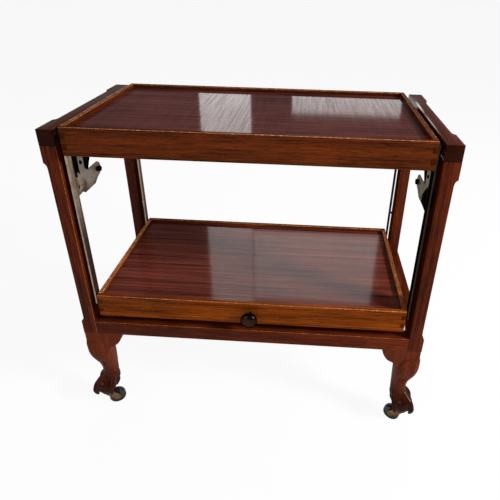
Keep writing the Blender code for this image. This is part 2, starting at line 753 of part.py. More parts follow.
# Castors
def castor_meshes():
    """Socket, fork with its riveted axle, and wheel."""
    flange_top = foot_clearance - fit_gap
    flange_low = flange_top - socket_flange
    tube_top = foot_clearance + stem_length + socket_wall_top
    bore = stem_radius + journal_play
    bore_top = tube_top - socket_wall_top + fit_gap
    socket = turned("socket", [(0, tube_top), (socket_tube_radius, tube_top), (socket_tube_radius, flange_top),
                               (socket_radius, flange_top), (socket_radius, flange_low), (bore, flange_low),
                               (bore, bore_top), (0, bore_top)], tools)
    crown = turned("crown", [(0, bore_top - fit_gap), (stem_radius, bore_top - fit_gap), (stem_radius, crown_top),
                             (crown_radius, crown_top), (crown_radius, crown_base), (0, crown_base)], tools)
    cheek_high = crown_top - lap
    outline = [(along * castor_trail, height * cheek_high) for along, height in cheek_shares]
    inner = wheel_width / 2 + fork_gap
    for low, high in ((-inner - fork_cheek, -inner), (inner, inner + fork_cheek)):
        combine(crown, plate("cheek", "Y", [outline], low, high, tools), "UNION")
    end = inner + fork_cheek
    axle = turned("axle", [(0, end + axle_head), (axle_head_radius, end + axle_head),
                           (axle_head_radius, end - lap), (axle_radius, end - lap), (axle_radius, lap - end),
                           (axle_head_radius, lap - end), (axle_head_radius, -end - axle_head),
                           (0, -end - axle_head)], tools, 10)
    axle.rotation_euler = (math.radians(90), 0, 0)
    axle.location = (castor_trail, 0, axle_height)
    combine(crown, axle, "UNION")
    half = wheel_width / 2
    web = half - tread_depth / 2
    rim = wheel_radius - tread_depth
    edge = tread_depth / 4
    journal = axle_radius + journal_play
    boss = 2 * axle_radius
    wheel = turned("wheel", [(journal, half), (boss, half), (boss, web), (rim, web), (wheel_radius - edge, half),
                             (wheel_radius, half - 2 * edge), (wheel_radius, 2 * edge - half),
                             (wheel_radius - edge, -half),
                             (rim, -web), (boss, -web), (boss, -half), (journal, -half), (journal, half)],
                   tools, 24)
    meshes = {}
    for name, source in (("socket", socket), ("fork", crown), ("wheel", wheel)):
        meshes[name] = finished(source)
        weld(meshes[name])
    for source in (socket, crown, wheel):
        bpy.data.objects.remove(source)
    return meshes


def castors():
    """Four swivel castors, each under its foot and turned to its resting direction."""
    meshes = castor_meshes()
    near = foot_inset
    far = frame_depth - foot_inset
    across = half_width - foot_inset
    places = (("front_left", -across, near, front_castor_turn), ("front_right", across, near, 180 - front_castor_turn),
              ("rear_left", -across, far, rear_castor_turn), ("rear_right", across, far, 180 - rear_castor_turn))
    for corner, x, depth, turn in places:
        socket = settle(meshes["socket"].copy(), "castor_socket_" + corner, parts)
        socket.location = (x, back(depth), 0)
        swivel = bpy.data.objects.new("swivel_axis_" + corner, None)
        swivel.location = (x, back(depth), 0)
        swivel.rotation_euler = (0, 0, math.radians(turn))
        parts.objects.link(swivel)
        fork = settle(meshes["fork"].copy(), "castor_fork_" + corner, parts)
        fork.parent = swivel
        wheel = settle(meshes["wheel"].copy(), "castor_wheel_" + corner, parts)
        wheel.parent = swivel
        wheel.location = (castor_trail, 0, axle_height)
        wheel.rotation_euler = (math.radians(90), 0, 0)


# Materials
def finish(name, colour, roughness, metallic):
    """Principled material."""
    made = bpy.data.materials.new(name)
    made.use_nodes = True
    shader = made.node_tree.nodes["Principled BSDF"]
    shader.inputs["Base Color"].default_value = (*colour, 1.0)
    shader.inputs["Roughness"].default_value = roughness
    shader.inputs["Metallic"].default_value = metallic
    return made


looks = (
    ("tray_panel", (0.045, 0.018, 0.018), 0.12, 0.0, ("_panel",)),
    ("tray_wood", (0.110, 0.030, 0.012), 0.35, 0.0, ("_board",)),
    ("frame_wood", (0.065, 0.015, 0.008), 0.35, 0.0, ("post_", "rail_", "leg_")),
    ("knob_bronze", (0.10, 0.075, 0.045), 0.35, 1.0, ("knob",)),
    ("catch_black", (0.010, 0.010, 0.010), 0.5, 0.0, ("catch_plate", "catch_button")),
    ("castor_black", (0.012, 0.012, 0.012), 0.45, 0.0, ("castor_wheel",)),
    ("steel", (0.30, 0.27, 0.23), 0.4, 1.0, ("",)),
)


def dress():
    """Give every part its material and smooth its round faces."""
    made = {name: finish(name, colour, roughness, metallic) for name, colour, roughness, metallic, _ in looks}
    for piece in parts.objects:
        if piece.type != "MESH":
            continue
        for name, _, _, _, words in looks:
            if any(word in piece.name for word in words):
                break
        piece.data.materials.clear()
        piece.data.materials.append(made[name])
        piece.data.shade_smooth()
        piece.data.set_sharp_from_angle(angle=math.radians(32))


def hang(axis_name, place, pieces):
    """Parent moving pieces to an empty on their joint's axis."""
    axis = bpy.data.objects.new(axis_name, None)
    axis.location = place
    parts.objects.link(axis)
    bpy.context.view_layer.update()
    for piece in pieces:
        piece.parent = axis
        piece.matrix_parent_inverse = axis.matrix_world.inverted()
    return axis


def main():
    for old in list(bpy.data.objects):
        bpy.data.objects.remove(old)
    bpy.context.scene.collection.children.link(parts)
    bpy.context.scene.collection.children.link(tools)

    for piece in side_frame():
        mirrored(piece, piece.name.replace("right", "left"), "X")

    upper = tray("top_tray", upper_front, upper_back, rim_rise)
    for depth, drop in ((front_pivot_depth, front_pivot_drop), (rear_pivot_depth, rear_pivot_drop)):
        hole = rod("stud_tip_hole", "X", (0, back(depth), up(-drop)), tray_half - stud_tip_length - fit_gap,
                   tray_half + cut_extra, stud_tip_radius + fit_gap, tools)
        combine(upper["right"], hole, "DIFFERENCE")
    mirrored(upper["right"], "top_tray_left_board", "X")
    lower = tray("lower_tray", 0, lower_back, lower_rim)
    lower["left"] = mirrored(lower["right"], "lower_tray_left_board", "X")
    lower["knob"] = knob()
    knob_hole = rod("knob_hole", "Y", (0, 0, up(lower_rim - knob_drop)), back(-cut_extra),
                    back(knob_screw_length + fit_gap), knob_screw_radius + fit_gap, tools)
    combine(lower["front"], knob_hole, "DIFFERENCE")
    lower_pieces = list(lower.values()) + swivel_plates()

    front_arm, rear_arm = arms()
    pivot_studs()
    rest_stops()
    base, lever, button = catch()
    mirrored(base, "catch_plate_left", "X")
    left_lever = mirrored(lever, "catch_lever_left", "X")
    left_button = mirrored(button, "catch_button_left", "X")

    front_place = (0, back(front_pivot_depth), up(-front_pivot_drop))
    rear_place = (0, back(rear_pivot_depth), up(-rear_pivot_drop))
    lower_place = (0, back(front_pivot_depth), up(-front_pivot_drop - arm_length))
    catch_place = (0, back(catch_pivot_depth), up(-catch_pivot_drop))
    fold = hang("fold_axis", front_place, (front_arm, mirrored(front_arm, "arm_front_left", "X")))
    hang("rear_arm_axis", rear_place, (rear_arm, mirrored(rear_arm, "arm_rear_left", "X")))
    level = hang("tray_axis", lower_place, lower_pieces)
    level.parent = fold
    level.matrix_parent_inverse = fold.matrix_world.inverted()
    hang("catch_axis_right", catch_place, (lever, button))
    hang("catch_axis_left", catch_place, (left_lever, left_button))

    leg = cabriole()
    front_left = mirrored(leg, "leg_front_left", "X")
    mirrored(leg, "leg_rear_right", "Y")
    mirrored(front_left, "leg_rear_left", "Y")
    castors()
    dress()


main()
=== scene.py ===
"""Looks of the folding serving trolley: finished pieces and their materials, in a plain studio."""
import json
import math

import bmesh
import bpy
from bpy.props import FloatProperty, FloatVectorProperty, IntProperty, PointerProperty
from mathutils import Matrix, Vector

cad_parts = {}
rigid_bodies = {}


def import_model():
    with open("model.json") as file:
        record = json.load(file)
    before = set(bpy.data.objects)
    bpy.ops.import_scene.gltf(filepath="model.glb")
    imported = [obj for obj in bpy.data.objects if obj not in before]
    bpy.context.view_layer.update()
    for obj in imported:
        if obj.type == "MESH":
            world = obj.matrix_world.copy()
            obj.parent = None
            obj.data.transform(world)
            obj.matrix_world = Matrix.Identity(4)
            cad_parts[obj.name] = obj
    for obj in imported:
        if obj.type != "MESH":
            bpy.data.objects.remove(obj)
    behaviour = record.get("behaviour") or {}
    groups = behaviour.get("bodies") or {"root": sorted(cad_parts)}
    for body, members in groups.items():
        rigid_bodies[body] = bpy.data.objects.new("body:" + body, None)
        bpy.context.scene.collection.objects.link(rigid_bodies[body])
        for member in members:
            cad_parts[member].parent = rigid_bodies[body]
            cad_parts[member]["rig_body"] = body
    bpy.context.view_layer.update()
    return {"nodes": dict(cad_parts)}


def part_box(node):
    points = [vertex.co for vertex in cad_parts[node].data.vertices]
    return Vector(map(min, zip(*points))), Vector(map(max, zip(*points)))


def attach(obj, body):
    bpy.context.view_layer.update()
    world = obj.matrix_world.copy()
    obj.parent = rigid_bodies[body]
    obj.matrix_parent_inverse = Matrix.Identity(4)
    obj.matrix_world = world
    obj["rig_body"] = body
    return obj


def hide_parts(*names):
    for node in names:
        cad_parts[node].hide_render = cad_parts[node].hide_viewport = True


bl_info = {
    "name": "Folding serving trolley",
    "version": (1, 0, 0),
    "blender": (4, 5, 0),
    "location": "View3D > Sidebar > Trolley",
    "description": "Builds the finished pieces of a mahogany serving trolley and its studio",
    "category": "Object",
}

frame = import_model()

SIDES = ("left", "right")
ENDS = ("front", "rear")
CORNERS = ("front_left", "front_right", "rear_left", "rear_right")
# Sizes are in metres
MERGE = 0.00001                 # points nearer together than this become one
FLAT = math.radians(0.6)        # faces that meet at less than this become one


def tint(red, green, blue):
    """Linear colour from the 0 to 255 values that a screen shows."""
    parts = [value / 255 for value in (red, green, blue)]
    return tuple(part / 12.92 if part <= 0.04045 else ((part + 0.055) / 1.055) ** 2.4 for part in parts)


def colour_choice(name, description, default):
    return FloatVectorProperty(name=name, description=description, subtype="COLOR", size=3, min=0, max=1,
                               default=default)


class TrolleyColours(bpy.types.PropertyGroup):
    frame_dark: colour_choice("Frame, dark grain", "Dark lines of the frame's mahogany", tint(28, 9, 4))
    frame_light: colour_choice("Frame, light grain", "Light bands of the frame's mahogany",
                               tint(102, 38, 13))
    leg_dark: colour_choice("Legs, dark grain", "Dark lines of the carved legs", tint(36, 11, 4))
    leg_light: colour_choice("Legs, light grain", "Light bands of the carved legs", tint(116, 45, 13))
    board_dark: colour_choice("Boards, dark grain", "Dark lines of the upper tray's boards", tint(24, 8, 2))
    board_light: colour_choice("Boards, light grain", "Light bands of the upper tray's boards",
                               tint(104, 44, 11))
    lower_dark: colour_choice("Lower boards, dark grain", "Dark lines of the lower tray's boards",
                              tint(42, 14, 2))
    lower_light: colour_choice("Lower boards, light grain", "Light bands of the lower tray's boards",
                               tint(140, 64, 5))
    panel_dark: colour_choice("Upper panel, dark grain", "Dark stripes of the upper panel", tint(34, 13, 12))
    panel_light: colour_choice("Upper panel, light grain", "Light stripes of the upper panel",
                               tint(108, 54, 48))
    shelf_dark: colour_choice("Lower panel, dark grain", "Dark stripes of the lower panel", tint(36, 12, 9))
    shelf_light: colour_choice("Lower panel, light grain", "Light stripes of the lower panel",
                               tint(122, 57, 44))
    # Worn edges, and also the painted sunlight on the tops of the left side boards
    worn_edge: colour_choice("Worn edges", "Bare wood where the polish is rubbed away", tint(212, 144, 100))
    steel: colour_choice("Steel", "Arms, studs and plates", tint(176, 158, 142))
    catch_steel: colour_choice("Catch levers", "Steel of the two catch levers", tint(150, 138, 128))
    castor_steel: colour_choice("Castors", "Steel of the sockets and forks", tint(126, 96, 66))
    bronze: colour_choice("Knob", "Dark bronze of the pull knob", tint(56, 38, 29))
    black_paint: colour_choice("Black paint", "Mounting plates and finger buttons", tint(14, 12, 12))
    black_wheel: colour_choice("Wheels", "Moulded wheels of the castors", tint(24, 20, 18))


class TrolleySizes(bpy.types.PropertyGroup):
    wood_edge: FloatProperty(name="Frame edges", description="Width of the eased edges of the frame",
                             default=0.0008, min=0.0002, max=0.003, unit="LENGTH")
    board_edge: FloatProperty(name="Board edges", description="Width of the eased edges of the tray boards",
                              default=0.0009, min=0.0001, max=0.002, unit="LENGTH")
    steel_edge: FloatProperty(name="Steel edges", description="Width of the eased edges of the steel",
                              default=0.0003, min=0.0001, max=0.001, unit="LENGTH")
    carving: FloatProperty(name="Carving grain", description="Cell size of the carved legs' surface",
                           default=0.0012, min=0.0006, max=0.004, unit="LENGTH")
    turning: IntProperty(name="Turned steps", description="Faces round a turned piece", default=48, min=16,
                         max=128)


# Shader maths
class Flow:
    """A shader value that can be used in Python sums."""

    def __init__(self, finish, out):
        self.finish = finish
        self.out = out

    def sum(self, operation, first, second):
        return self.finish.node("ShaderNodeMath", {"operation": operation}, {0: first, 1: second})

    def __add__(self, other):
        return self.sum("ADD", self, other)

    def __radd__(self, other):
        return self.sum("ADD", other, self)

    def __sub__(self, other):
        return self.sum("SUBTRACT", self, other)

    def __rsub__(self, other):
        return self.sum("SUBTRACT", other, self)

    def __mul__(self, other):
        return self.sum("MULTIPLY", self, other)

    def __rmul__(self, other):
        return self.sum("MULTIPLY", other, self)

    def over(self, level, width):
        """0 below a level and 1 above it, with a soft step."""
        settings = {"clamp": True, "interpolation_type": "SMOOTHSTEP"}
        sockets = {"Value": self, "From Min": level - width / 2, "From Max": level + width / 2}
        return self.finish.node("ShaderNodeMapRange", settings, sockets)


class Finish:
    """A node material built from one method."""

    def __init__(self, name):
        self.material = bpy.data.materials.new(name)
        self.material.use_nodes = True
        self.tree = self.material.node_tree
        self.tree.nodes.clear()

    def node(self, kind, settings=None, sockets=None, out=0):
        """A node with its settings, its links or constants, and one output as a Flow."""
        made = self.tree.nodes.new(kind)
        for key, value in (settings or {}).items():
            setattr(made, key, value)
        for key, value in (sockets or {}).items():
            if isinstance(value, Flow):
                self.tree.links.new(value.out, made.inputs[key])
            elif isinstance(value, (tuple, list)) and len(value) == 3 and made.inputs[key].type == "RGBA":
                made.inputs[key].default_value = (*value, 1.0)
            else:
                made.inputs[key].default_value = value
        return Flow(self, made.outputs[out])

    def spot(self):
        """Where a point lies on the trolley."""
        return self.node("ShaderNodeTexCoord", out="Object")

    def place(self, axis):
        """Where a point lies along one axis of the trolley, in metres."""
        return self.node("ShaderNodeSeparateXYZ", sockets={"Vector": self.spot()}, out=axis)

    def mark(self, name):
        """A mark that is kept on the corners of the faces."""
        return self.node("ShaderNodeAttribute", {"attribute_name": name}, out="Fac")

    def noise(self, scale, detail=4.0, rough=0.55):
        """Noise with a scale of its own along each axis."""
        place = self.node("ShaderNodeMapping", sockets={"Vector": self.spot(), "Scale": scale})
        return self.node("ShaderNodeTexNoise", sockets={"Vector": place, "Scale": 1.0, "Detail": detail,
                                                        "Roughness": rough})

    def ramp(self, factor, *stops):
        """Colours between two (place, colour) stops."""
        made = self.node("ShaderNodeValToRGB", sockets={"Fac": factor})
        for element, (place, colour) in zip(made.out.node.color_ramp.elements, stops):
            element.position = place
            element.color = (*colour, 1.0)
        return made

    def blend(self, low, high, factor):
        return self.node("ShaderNodeMix", {"data_type": "RGBA"}, {0: factor, 6: low, 7: high}, 2)

    def close(self, sockets, bump, depth, strength):
        """End the material in a surface with a bump of the given depth in metres."""
        sockets["Normal"] = self.node("ShaderNodeBump", sockets={"Height": bump, "Strength": strength,
                                                                 "Distance": depth})
        self.show(self.node("ShaderNodeBsdfPrincipled", sockets=sockets))
        return self.material

    def show(self, shader):
        out = self.tree.nodes.new("ShaderNodeOutputMaterial")
        self.tree.links.new(shader.out, out.inputs["Surface"])


def darker(colour, share):
    """A colour with only a share of its brightness."""
    return tuple(value * share for value in colour)


def along(axis, fine, length):
    """Noise scale that draws a pattern out along one axis."""
    return tuple(length if letter == axis else fine for letter in "XYZ")


def polished_wood(name, axis, dark, light, worn, coat=0.08, wear=1.0, ends_dark=1.0, figure=1.0,
                  darken_below=None, dull_inside=None):
    """Polished timber with grain along an axis, open pores, dark end grain, rubbed edges, uneven sheen, and
    painted sunlight where board tops are marked.

    figure is the contrast of the grain. dirt is the height below which the wood turns dark. Nearer to the
    middle of the trolley than dull_inside the polish is missing.
    """
    skin = Finish(name)
    bands = skin.noise(along(axis, 60.0, 1.6), 2.0, 0.5)
    lines = skin.noise(along(axis, 470.0, 14.0), 4.0, 0.7)
    pores = skin.noise(along(axis, 1100.0, 75.0), 2.0, 0.6).over(0.6, 0.12)
    cloud = skin.noise((6, 6, 6), 2.0)
    grain = (bands - 0.5) * 0.8 + (lines - 0.5) * 1.9 + (cloud - 0.5) * 0.5
    colour = skin.ramp(0.5 + grain * figure, (0.1, dark), (0.9, light))
    colour = skin.blend(colour, darker(dark, 0.3), pores * 0.55)
    ends = skin.mark("end_grain")
    speckle = skin.noise((420, 420, 420), 3.0, 0.6)
    colour = skin.blend(colour, darker(dark, 0.5), ends * (0.6 + speckle * 0.4) * ends_dark)
    # Darker towards the floor below this height, in patches
    if darken_below:
        low = 1.0 - skin.place("Z").over(darken_below, 0.06)
        colour = skin.blend(colour, darker(dark, 0.4), low * (0.3 + cloud * 0.9))
    chips = skin.noise((120, 120, 120), 5.0, 0.75)
    # The edge mark is real wear on the eased edges and painted sunlight on the left boards' tops
    rubbed = skin.mark("edge") * (chips.over(0.54, 0.14) * 0.7 + 0.3) * wear
    colour = skin.blend(colour, worn, rubbed * 0.9)
    smear = skin.noise((14, 14, 14), 3.0)
    gloss = 0.3 + (smear - 0.5) * 0.16 + rubbed * 0.2 + ends * 0.15
    relief = pores * -0.6 + lines * 0.4
    polish = (0.6 + smear * 0.8) * coat * (1.0 - ends * 0.85)
    if dull_inside:
        across = skin.place("X")
        polish = polish * (across * across).over(dull_inside ** 2, 0.0003)
    return skin.close({"Base Color": colour, "Roughness": gloss, "Specular IOR Level": 0.0,
                       "Coat Weight": polish, "Coat Roughness": 0.14}, relief, depth=0.00018, strength=0.3)


def gloss_panel(name, dark, light, figure):
    """Veneered panel under a high polish, with ribbon grain from side to side and ripples across it."""
    skin = Finish(name)
    ribbon = skin.noise((1.8, 95, 95), 3.0, 0.6)
    lines = skin.noise((5.0, 380, 380), 3.0, 0.65)
    flecks = skin.noise((45, 1000, 1000), 2.0, 0.5).over(0.62, 0.1)
    ripple = skin.noise((260, 8, 8), 3.0, 0.6)
    cloud = skin.noise((3, 3, 3), 2.0)
    grain = (0.5 + (ribbon - 0.5) + (lines - 0.5) * 1.9 + (cloud - 0.5) * 0.5
             + (ripple - 0.5) * (0.2 * figure))
    colour = skin.ramp(grain, (0.12, dark), (0.88, light))
    colour = skin.blend(colour, darker(dark, 0.4), flecks * 0.45)
    gloss = 0.12 + (skin.noise((7, 7, 7)) - 0.5) * 0.05
    polish = 0.26 + (ripple - 0.5) * (0.4 * figure)
    relief = skin.noise((60, 60, 60), 2.0) + ripple * (0.6 * figure)
    return skin.close({"Base Color": colour, "Roughness": gloss, "Specular IOR Level": 0.0,
                       "Coat Weight": polish, "Coat Roughness": 0.07}, relief, depth=0.00006, strength=0.2)


def metal(name, colour, rough, brushed, axis="Z", spots=0.25, dark=0.5, right_side_shade=0.0, grazing=0.35):
    """Metal with drawn lines, dull patches, darker spots, and painted shade on the right side of the
    trolley.

    grazing is how bright it stays when it is seen along its face.
    """
    skin = Finish(name)
    lines = skin.noise(along(axis, 1800.0, 40.0), 2.0)
    cloud = skin.noise((45, 45, 45), 5.0, 0.65)
    stain = skin.noise((160, 160, 160), 3.0).over(0.62, 0.12)
    shade = darker(colour, dark)
    tone = skin.blend(colour, shade, cloud.over(0.5, 0.4) * 0.8)
    tone = skin.blend(tone, darker(shade, 0.3), stain * spots)
    # Painted shade: steel on the right side of the trolley is darkened as if it stood in shadow
    if right_side_shade:
        tone = skin.blend(tone, darker(shade, 0.07), skin.place("X").over(0.0, 0.1) * right_side_shade)
    gloss = rough + (cloud - 0.5) * 0.25 + (lines - 0.5) * 0.1
    relief = lines * brushed + cloud * 0.5
    return skin.close({"Base Color": tone, "Roughness": gloss, "Metallic": 1.0,
                       "Specular Tint": (grazing, grazing, grazing * 0.9)}, relief,
                      depth=0.00005, strength=0.3)


def enamel(name, colour, rough, shine):
    """Paint or hard plastic with faint scuffs."""
    skin = Finish(name)
    cloud = skin.noise((60, 60, 60))
    scuff = skin.noise((500, 120, 120), 3.0).over(0.64, 0.1)
    pale = tuple(min(1.0, value * 3 + 0.02) for value in colour)
    tone = skin.blend(colour, pale, scuff * 0.35)
    gloss = rough + (cloud - 0.5) * 0.2 + scuff * 0.15
    return skin.close({"Base Color": tone, "Roughness": gloss, "Specular IOR Level": shine}, cloud,
                      depth=0.00008, strength=0.25)


LOOKS = {}      # finishes that are made already, by name
# Inner faces nearer to the middle than this aren't polished
DULL_INSIDE = {"frame_Z": 0.3494, "frame_low_Y": 0.3584}


def grains(wood):
    """Dark and light grain of a wood, and its colour for worn edges and painted sunlight."""
    colours = bpy.context.scene.trolley_colours
    return tuple(getattr(colours, wood + "_dark")), tuple(getattr(colours, wood + "_light")), \
        tuple(colours.worn_edge)


def new_look(name):
    """A finish of the trolley. The letter at the end of a name is the axis of its grain or brushing."""
    colours = bpy.context.scene.trolley_colours
    kind, _, axis = name.rpartition("_")
    if kind in ("frame", "frame_low"):
        return polished_wood("mahogany_" + name.lower(), axis, *grains("frame"),
                             coat=0.5 if name == "frame_Y" else 0.1, wear=0.4,
                             dull_inside=DULL_INSIDE.get(name))
    if kind in ("board", "lower"):
        return polished_wood("mahogany_" + name.lower(), axis, *grains(kind), ends_dark=0.6)
    if name == "carved":
        # The carved legs turn darker towards the floor below 0.11 m
        return polished_wood("mahogany_carved", "Z", *grains("leg"), coat=0.16, figure=0.6, darken_below=0.11)
    if name == "panel":
        return gloss_panel("mahogany_panel", *grains("panel")[:2], figure=1.0)
    if name == "shelf_panel":
        return gloss_panel("mahogany_shelf_panel", *grains("shelf")[:2], figure=0.3)
    if kind == "steel":
        # The steel of the lift carries painted shade on the right side of the trolley
        return metal("worn_" + name.lower(), tuple(colours.steel), rough=0.36, brushed=1.0, axis=axis,
                     spots=0.35, right_side_shade=0.95, grazing=0.05)
    if name == "catch_steel":
        return metal("worn_catch_steel", tuple(colours.catch_steel), rough=0.34, brushed=1.0, axis="Y",
                     spots=0.35, dark=0.55)
    if name == "castor_steel":
        return metal("castor_steel", tuple(colours.castor_steel), rough=0.16, brushed=0.3, dark=0.2)
    if name == "bronze":
        return metal("dark_bronze", tuple(colours.bronze), rough=0.22, brushed=0.2, dark=0.25)
    if name == "black_paint":
        return enamel("black_paint", tuple(colours.black_paint), rough=0.45, shine=0.0)
    if name == "black_wheel":
        return enamel("black_wheel", tuple(colours.black_wheel), rough=0.25, shine=0.3)
    raise KeyError(name)


def look(name):
    """A finish of the trolley, made once."""
    if name not in LOOKS:
        LOOKS[name] = new_look(name)
    return LOOKS[name]


# Pieces
def only(piece):
    """Select one object and nothing else."""
    if bpy.context.object and bpy.context.object.mode != "OBJECT":
        bpy.ops.object.mode_set(mode="OBJECT")
    bpy.ops.object.select_all(action="DESELECT")
    piece.select_set(True)
    bpy.context.view_layer.objects.active = piece


def apply_all(piece):
    """Apply every modifier in turn."""
    only(piece)
    for modifier in list(piece.modifiers):
        bpy.ops.object.modifier_apply(modifier=modifier.name)


SHARP = math.radians(28)        # edges that turn by more than this are eased
SMOOTH = math.radians(35)       # and those that turn by less than this are shaded smooth
TURNED_SMOOTH = math.radians(40)
CARVED_SMOOTH = math.radians(60)
ALONG_GRAIN = 0.3       # a face that leans less than this runs along the grain
ACROSS_GRAIN = 0.8      # and one that leans more than this is end grain


def ease(piece, width, segments=2, grain=None, rubbed_from=-1.0):
    """Round off the sharp edges, and mark the new faces for wear and the faces that show end grain.

    The edges round the ends, and those below rubbed_from, stay unworn.
    """
    while len(piece.data.materials) < 2:
        piece.data.materials.append(None)
    bevel = piece.modifiers.new("Eased edges", "BEVEL")
    bevel.width = width
    bevel.segments = segments
    bevel.limit_method = "ANGLE"
    bevel.angle_limit = SHARP
    bevel.material = 1
    apply_all(piece)
    marks = piece.data.attributes.new("edge", "FLOAT", "CORNER")
    ends = piece.data.attributes.new("end_grain", "FLOAT", "CORNER")
    for face in piece.data.polygons:
        lean = abs(face.normal["XYZ".index(grain)]) if grain else 0.0     # 1 across the grain, 0 along it
        worn = face.material_index == 1 and lean < ALONG_GRAIN and face.center.z > rubbed_from
        for corner in face.loop_indices:
            marks.data[corner].value = float(worn)
            ends.data[corner].value = float(lean > ACROSS_GRAIN)
        face.material_index = 0
    piece.data.materials.clear()
    only(piece)
    bpy.ops.object.shade_smooth_by_angle(angle=SMOOTH)


def finish_piece(piece, name, finish, body, nodes):
    """Name a finished piece, give it its material, and hang it on its body in place of its nodes."""
    piece.name = name
    piece.data.name = name
    piece.data.materials.clear()
    piece.data.materials.append(finish)
    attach(piece, body)
    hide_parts(*nodes)
    return piece


def node_copy(node):
    """Whole-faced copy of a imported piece."""
    source = frame["nodes"][node]
    piece = bpy.data.objects.new(node + "_finished", source.data.copy())
    bpy.context.scene.collection.objects.link(piece)
    only(piece)
    bpy.ops.object.mode_set(mode="EDIT")
    bpy.ops.mesh.select_all(action="SELECT")
    bpy.ops.mesh.remove_doubles(threshold=MERGE)
    bpy.ops.mesh.dissolve_limited(angle_limit=FLAT)
    bpy.ops.object.mode_set(mode="OBJECT")
    return piece


def body_of(node):
    return frame["nodes"][node]["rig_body"]


def eased_copy(node, width, finish, segments=2, grain=None, rubbed_from=-1.0):
    """Finished piece from a packed one, with eased edges."""
    piece = node_copy(node)
    ease(piece, width, segments, grain=grain, rubbed_from=rubbed_from)
    return finish_piece(piece, node + "_finished", finish, body_of(node), (node,))


def settle(piece):
    """Put an object's place into its mesh."""
    only(piece)
    bpy.ops.object.transform_apply(location=True, rotation=True, scale=True)


def empty_mesh():
    """New object in edit mode, with nothing in its mesh yet."""
    bpy.ops.object.select_all(action="DESELECT")
    bpy.ops.mesh.primitive_plane_add(size=0.01)
    piece = bpy.context.object
    bpy.ops.object.mode_set(mode="EDIT")
    bpy.ops.mesh.select_all(action="SELECT")
    bpy.ops.mesh.delete(type="VERT")
    return piece, bmesh.from_edit_mesh(piece.data)


def leave_edit():
    """Turn every face outwards and leave edit mode."""
    bpy.ops.mesh.select_all(action="SELECT")
    bpy.ops.mesh.normals_make_consistent(inside=False)
    bpy.ops.object.mode_set(mode="OBJECT")


def turned(profile, centre, axis, steps):
    """Solid spun from (radius, height) points, closed on its axis."""
    piece, shape = empty_mesh()
    rows = [shape.verts.new((radius, 0, height)) for radius, height in profile]
    for first, second in zip(rows, rows[1:]):
        shape.edges.new((first, second))
    bmesh.update_edit_mesh(piece.data)
    bpy.ops.mesh.select_all(action="SELECT")
    bpy.ops.mesh.spin(steps=steps, angle=2 * math.pi, center=(0, 0, 0), axis=(0, 0, 1))
    bpy.ops.mesh.select_all(action="SELECT")
    bpy.ops.mesh.remove_doubles(threshold=MERGE)
    leave_edit()
    lean = Vector((0, 0, 1)).rotation_difference(axis).to_matrix().to_4x4()
    piece.matrix_world = Matrix.Translation(centre) @ lean
    settle(piece)
    bpy.ops.object.shade_smooth_by_angle(angle=TURNED_SMOOTH)
    return piece


def flipped(piece, name, across, centre=0.0):
    """Copy of a piece, mirrored in a plane across X or Y."""
    twin = piece.copy()
    twin.data = piece.data.copy()
    twin.name = name
    bpy.context.scene.collection.objects.link(twin)
    twin.parent = None
    twin.matrix_world = Matrix.Identity(4)
    way = Vector((1, 0, 0)) if across == "X" else Vector((0, 1, 0))
    twin.data.transform(Matrix.Translation(way * (2 * centre)) @ Matrix.Scale(-1, 4, way))
    only(twin)
    bpy.ops.object.mode_set(mode="EDIT")
    bpy.ops.mesh.select_all(action="SELECT")
    bpy.ops.mesh.flip_normals()
    bpy.ops.object.mode_set(mode="OBJECT")
    return twin


class SideFrames(bpy.types.Operator):
    """Posts, rails and their eased edges"""
    bl_idname = "trolley.side_frames"
    bl_label = "Side frames"

    def execute(self, context):
        width = context.scene.trolley_sizes.wood_edge
        for side in SIDES:
            for end in ENDS:
                eased_copy(f"post_{end}_{side}", width, look("frame_Z"), grain="Z")
            eased_copy("top_rail_" + side, width, look("frame_Y"), grain="Y")
            eased_copy("bottom_side_rail_" + side, width, look("frame_low_Y"), grain="Y")
        for end in ENDS:
            eased_copy("bottom_rail_" + end, width, look("frame_X"), grain="X")
        return {"FINISHED"}


BEAD_INSET = 0.0034     # from the edge of a board to the bead on its top
BEAD_DEPTH = 0.0012
TOP_ROOM = 0.0002       # faces this near to the top of a board are its top
TOP_LAYER = 0.0015      # and down to here they are the bead and the eased edges
TOP_WEAR_AND_SUNLIGHT = {"left": 0.95, "right": 0.12}      # how far the tops of the side boards are worn; on the left most of it is painted sunlight


def bead(piece, top):
    """Cut a fine step along the top edge of a board."""
    only(piece)
    bpy.ops.object.mode_set(mode="EDIT")
    bpy.ops.mesh.select_all(action="DESELECT")
    bpy.ops.mesh.select_mode(type="FACE")
    shape = bmesh.from_edit_mesh(piece.data)
    for face in shape.faces:
        face.select_set(face.normal.z > 0.9 and abs(face.calc_center_median().z - top) < TOP_ROOM)
    bmesh.update_edit_mesh(piece.data)
    bpy.ops.mesh.inset(thickness=BEAD_INSET, depth=0)
    bpy.ops.mesh.extrude_region_move(TRANSFORM_OT_translate={"value": (0, 0, -BEAD_DEPTH)})
    bpy.ops.object.mode_set(mode="OBJECT")


def rub_and_light_top(piece, top, amount):
    """Mark the top faces of a board as worn, which on the left boards paints sunlight on them in the worn
    colour.
    """
    marks = piece.data.attributes["edge"]
    for face in piece.data.polygons:
        if face.normal.z > 0.5 and face.center.z > top - TOP_LAYER:
            for corner in face.loop_indices:
                marks.data[corner].value = max(marks.data[corner].value, amount)


